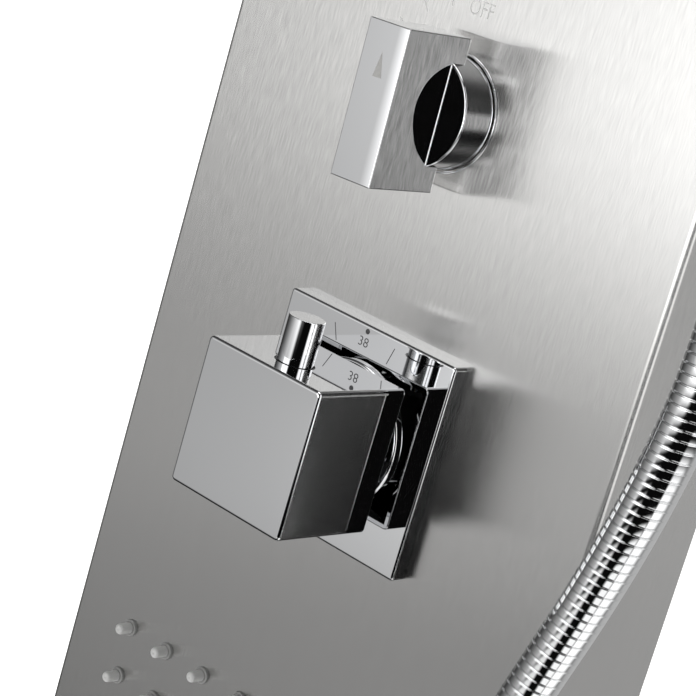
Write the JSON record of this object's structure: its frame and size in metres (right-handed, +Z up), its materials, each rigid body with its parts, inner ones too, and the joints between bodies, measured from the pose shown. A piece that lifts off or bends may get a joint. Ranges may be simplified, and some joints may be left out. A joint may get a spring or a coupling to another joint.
{
  "type": "shower panel column",
  "caption": "Wall shower column: brushed panel with cube thermostat handle, bar diverter, body jets, rain head on an arm and a hand shower on a metal hose.",
  "frame": {"origin": "middle of the four wall fixing holes, on the wall plane", "axes": "+Z up along the panel, +Y into the wall, +X to the right seen from the front"},
  "size_m": [0.2598, 0.52, 1.7182],
  "materials": {
    "brushed_panel": "vertical brushed grain, satin",
    "bracket_steel": "zinc-plated sheet",
    "bright_chrome": "polished chrome",
    "hose_chrome": "interlocked metal hose, polished",
    "raw_brass": "cast and machined",
    "copper_pipe": "drawn tube, satin",
    "grey_silicone": "matt silicone",
    "black_rubber": "matt",
    "white_plastic": "moulded",
    "dark_plastic": "moulded",
    "spring_steel": "bright wire and screws"
  },
  "bodies": {
    "column": {"front_panel": "brushed_panel", "end_caps": "brushed_panel", "edge_strips": "brushed_panel", "hanger_rails": "bracket_steel", "wall_brackets": "bracket_steel", "thermostat_collar": "bright_chrome", "temperature_rosette": "bright_chrome", "diverter_bezel": "bright_chrome", "outlet_rosette": "bright_chrome", "outlet_elbow": "bright_chrome", "hose_nut": "bright_chrome", "handset_holder": "bright_chrome", "arm_flange": "bright_chrome", "rain_arm": "bright_chrome", "ball_stud": "bright_chrome", "shower_hose": "hose_chrome", "thermostat_body": "raw_brass", "check_valves": "raw_brass", "union_nuts": "raw_brass", "diverter_body": "raw_brass", "diverter_ring_nut": "raw_brass", "outlet_connector": "raw_brass", "arm_connector": "raw_brass", "hot_feed_pipe": "copper_pipe", "cold_feed_pipe": "copper_pipe", "mixed_water_pipe": "copper_pipe", "jets_pipe": "copper_pipe", "hand_shower_pipe": "copper_pipe", "rain_pipe": "copper_pipe", "body_nozzle_mat": "grey_silicone", "rosette_seal": "black_rubber", "outlet_washer": "black_rubber", "thermostat_cartridge": "white_plastic", "diverter_cartridge": "white_plastic", "manifold_plate": "white_plastic", "manifold_chamber": "white_plastic", "stop_sleeve": "dark_plastic", "holder_screws": "spring_steel"},
    "temperature_handle": {"temperature_handle": "bright_chrome", "handle_hub": "dark_plastic", "thermostat_spindle": "raw_brass", "handle_grub_screw": "spring_steel", "button_guide": "dark_plastic", "button_spring": "spring_steel"},
    "safety_button": {"safety_button": "bright_chrome"},
    "diverter_handle": {"diverter_bar": "bright_chrome", "diverter_disc": "bright_chrome", "diverter_spindle": "raw_brass", "diverter_grub_screw": "spring_steel"},
    "lower_seat": {"lower_seat_ring": "white_plastic"},
    "upper_seat": {"upper_seat_ring": "white_plastic"},
    "rain_head": {"ball_collar": "bright_chrome", "rain_head_shell": "bright_chrome", "rain_face_plate": "brushed_panel", "rain_nozzle_mat": "grey_silicone"},
    "handset": {"handset_body": "bright_chrome", "handset_spray_plate": "grey_silicone", "hose_cone_nut": "bright_chrome"}
  },
  "joints": [
    {"name": "temperature_turn", "type": "hinge", "parent": "column", "child": "temperature_handle", "pos_m": [0, -0.09, -0.215], "axis": [0, -1, 0], "range_deg": [-150, 45]},
    {"name": "safety_button_press", "type": "slide", "parent": "temperature_handle", "child": "safety_button", "axis": [0, 0, -1], "range_m": [0, 0.0025], "stiffness_N_per_m": 900, "springref_m": -0.0015, "deforming": ["button_spring"]},
    {"name": "diverter_turn", "type": "hinge", "parent": "column", "child": "diverter_handle", "pos_m": [0, -0.08, -0.1043], "axis": [0, -1, 0], "range_deg": [-1.8, 50.7]},
    {"name": "rain_head_spin", "type": "hinge", "parent": "column", "child": "lower_seat", "pos_m": [0, -0.41, 0.643], "axis": [0, 0, 1], "continuous": true},
    {"name": "rain_head_tilt_front", "type": "hinge", "parent": "lower_seat", "child": "upper_seat", "pos_m": [0, -0.41, 0.643], "axis": [1, 0, 0], "range_deg": [-10, 10]},
    {"name": "rain_head_tilt_side", "type": "hinge", "parent": "upper_seat", "child": "rain_head", "pos_m": [0, -0.41, 0.643], "axis": [0, 1, 0], "range_deg": [-10, 10]},
    {"name": "handset_lift", "type": "slide", "parent": "column", "child": "handset", "axis": [0, -0.2588, 0.9659], "range_m": [0, 0.08]}
  ]
}
